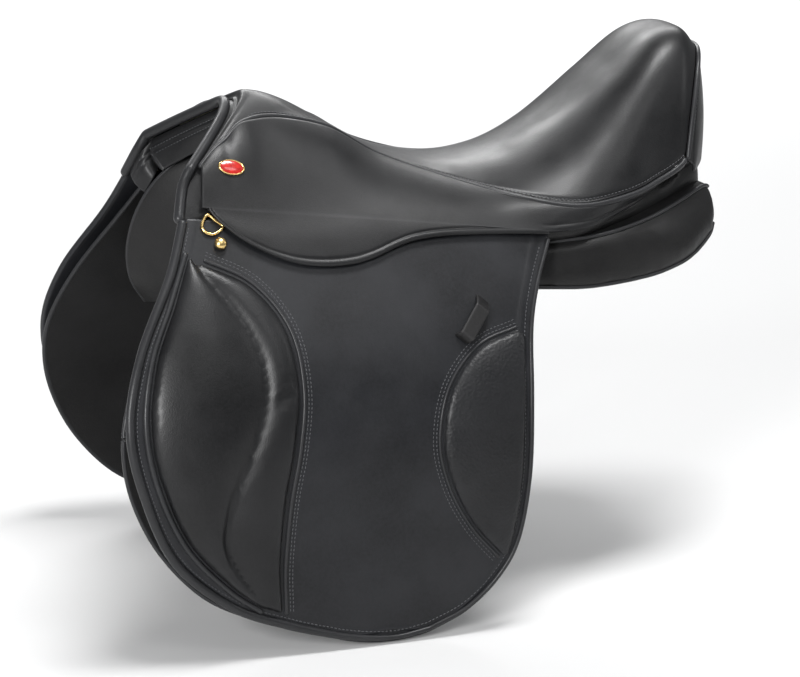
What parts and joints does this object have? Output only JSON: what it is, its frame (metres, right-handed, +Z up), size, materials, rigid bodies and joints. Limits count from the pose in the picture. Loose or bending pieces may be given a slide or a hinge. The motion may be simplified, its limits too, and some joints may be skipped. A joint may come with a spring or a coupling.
{
  "type": "english saddle",
  "caption": "General purpose english saddle with sprung wooden tree, deep leather seat, hinged flaps and skirts, padded knee and thigh blocks, twin panels and brass fittings.",
  "frame": {"origin": "on the centre plane, under the deepest point of the seat, level with the inner edges of the panels where they bear on the back of the horse", "axes": "+X runs back to the cantle, -Y is the left side of the horse and saddle, +Z is up"},
  "size_m": [0.5875, 0.4372, 0.4894],
  "materials": {
    "seat_leather": "satin black dyed leather",
    "flap_leather": "smooth satin black leather",
    "pad_leather": "soft grained black leather",
    "panel_leather": "soft matt black leather",
    "strap_leather": "matt black bridle leather",
    "beech": "lacquered laminated beech",
    "linen_web": "woven linen webbing",
    "seat_foam": "open cell foam",
    "bright_steel": "forged and polished steel",
    "spring_steel": "black lacquered spring steel",
    "brass": "polished brass",
    "badge_enamel": "red enamel in a brass rim"
  },
  "bodies": {
    "root": {"tree_frame": "beech", "head_plate": "spring_steel", "front_girth_web": "linen_web", "rear_girth_web": "linen_web", "seat_foam": "seat_foam", "seat_cover": "seat_leather", "pommel_facing": "seat_leather", "pommel_bead": "seat_leather", "cantle_facing": "seat_leather", "gullet_lining": "panel_leather", "left_tree_spring": "spring_steel", "left_seat_web": "linen_web", "left_seat_welt": "seat_leather", "left_skirt": "seat_leather", "left_stirrup_bar": "bright_steel", "left_catch_pin": "bright_steel", "left_front_bar_rivet": "bright_steel", "left_rear_bar_rivet": "bright_steel", "left_sweat_flap": "panel_leather", "left_panel": "panel_leather", "left_buckle_guard": "strap_leather", "left_saddle_nail": "badge_enamel", "right_tree_spring": "spring_steel", "right_seat_web": "linen_web", "right_seat_welt": "seat_leather", "right_skirt": "seat_leather", "right_stirrup_bar": "bright_steel", "right_catch_pin": "bright_steel", "right_front_bar_rivet": "bright_steel", "right_rear_bar_rivet": "bright_steel", "right_sweat_flap": "panel_leather", "right_panel": "panel_leather", "right_buckle_guard": "strap_leather", "right_saddle_nail": "badge_enamel"},
    "left_flap_body": {"left_flap": "flap_leather", "left_knee_pad": "pad_leather", "left_thigh_pad": "pad_leather", "left_strap_keeper": "strap_leather", "left_flap_stud": "brass"},
    "left_skirt_body": {"left_skirt_lobe": "seat_leather"},
    "left_dee_body": {"left_dee_ring": "brass"},
    "left_catch_body": {"left_bar_catch": "bright_steel"},
    "left_front_girth_strap_body": {"left_front_girth_strap": "strap_leather"},
    "left_middle_girth_strap_body": {"left_middle_girth_strap": "strap_leather"},
    "left_rear_girth_strap_body": {"left_rear_girth_strap": "strap_leather"},
    "right_flap_body": {"right_flap": "flap_leather", "right_knee_pad": "pad_leather", "right_thigh_pad": "pad_leather", "right_strap_keeper": "strap_leather", "right_flap_stud": "brass"},
    "right_skirt_body": {"right_skirt_lobe": "seat_leather"},
    "right_dee_body": {"right_dee_ring": "brass"},
    "right_catch_body": {"right_bar_catch": "bright_steel"},
    "right_front_girth_strap_body": {"right_front_girth_strap": "strap_leather"},
    "right_middle_girth_strap_body": {"right_middle_girth_strap": "strap_leather"},
    "right_rear_girth_strap_body": {"right_rear_girth_strap": "strap_leather"}
  },
  "joints": [
    {"name": "left_flap_lift", "type": "hinge", "parent": "root", "child": "left_flap_body", "pos_m": [-0.24, -0.10662, 0.052], "axis": [-0.9902, 0.071, 0.1206], "range_deg": [0, 75]},
    {"name": "left_skirt_lift", "type": "hinge", "parent": "left_flap_body", "child": "left_skirt_body", "pos_m": [-0.24, -0.10662, 0.052], "axis": [-0.9902, 0.071, 0.1206], "range_deg": [0, 50]},
    {"name": "left_dee_swing", "type": "hinge", "parent": "left_flap_body", "child": "left_dee_body", "pos_m": [-0.229, -0.11012, 0.041], "axis": [-0.7063, 0.4029, 0.5821], "range_deg": [0, 25]},
    {"name": "left_catch_turn", "type": "hinge", "parent": "root", "child": "left_catch_body", "pos_m": [-0.114, -0.11598, 0.02567], "axis": [0, -0.832, 0.5549], "range_deg": [0, 80]},
    {"name": "left_front_girth_strap_swing", "type": "hinge", "parent": "root", "child": "left_front_girth_strap_body", "pos_m": [-0.088, -0.12905, -0.008], "axis": [0, 1, 0], "range_deg": [-3, 3]},
    {"name": "left_middle_girth_strap_swing", "type": "hinge", "parent": "root", "child": "left_middle_girth_strap_body", "pos_m": [-0.038, -0.12838, -0.008], "axis": [0, 1, 0], "range_deg": [-3, 3]},
    {"name": "left_rear_girth_strap_swing", "type": "hinge", "parent": "root", "child": "left_rear_girth_strap_body", "pos_m": [0.002, -0.12749, -0.008], "axis": [0, 1, 0], "range_deg": [-3, 3]},
    {"name": "right_flap_lift", "type": "hinge", "parent": "root", "child": "right_flap_body", "pos_m": [-0.24, 0.10662, 0.052], "axis": [0.9902, 0.071, -0.1206], "range_deg": [0, 75]},
    {"name": "right_skirt_lift", "type": "hinge", "parent": "right_flap_body", "child": "right_skirt_body", "pos_m": [-0.24, 0.10662, 0.052], "axis": [0.9902, 0.071, -0.1206], "range_deg": [0, 50]},
    {"name": "right_dee_swing", "type": "hinge", "parent": "right_flap_body", "child": "right_dee_body", "pos_m": [-0.229, 0.11012, 0.041], "axis": [0.7063, 0.4029, -0.5821], "range_deg": [0, 25]},
    {"name": "right_catch_turn", "type": "hinge", "parent": "root", "child": "right_catch_body", "pos_m": [-0.114, 0.11598, 0.02567], "axis": [0, -0.832, -0.5549], "range_deg": [0, 80]},
    {"name": "right_front_girth_strap_swing", "type": "hinge", "parent": "root", "child": "right_front_girth_strap_body", "pos_m": [-0.088, 0.12905, -0.008], "axis": [0, 1, 0], "range_deg": [-3, 3]},
    {"name": "right_middle_girth_strap_swing", "type": "hinge", "parent": "root", "child": "right_middle_girth_strap_body", "pos_m": [-0.038, 0.12838, -0.008], "axis": [0, 1, 0], "range_deg": [-3, 3]},
    {"name": "right_rear_girth_strap_swing", "type": "hinge", "parent": "root", "child": "right_rear_girth_strap_body", "pos_m": [0.002, 0.12749, -0.008], "axis": [0, 1, 0], "range_deg": [-3, 3]}
  ]
}
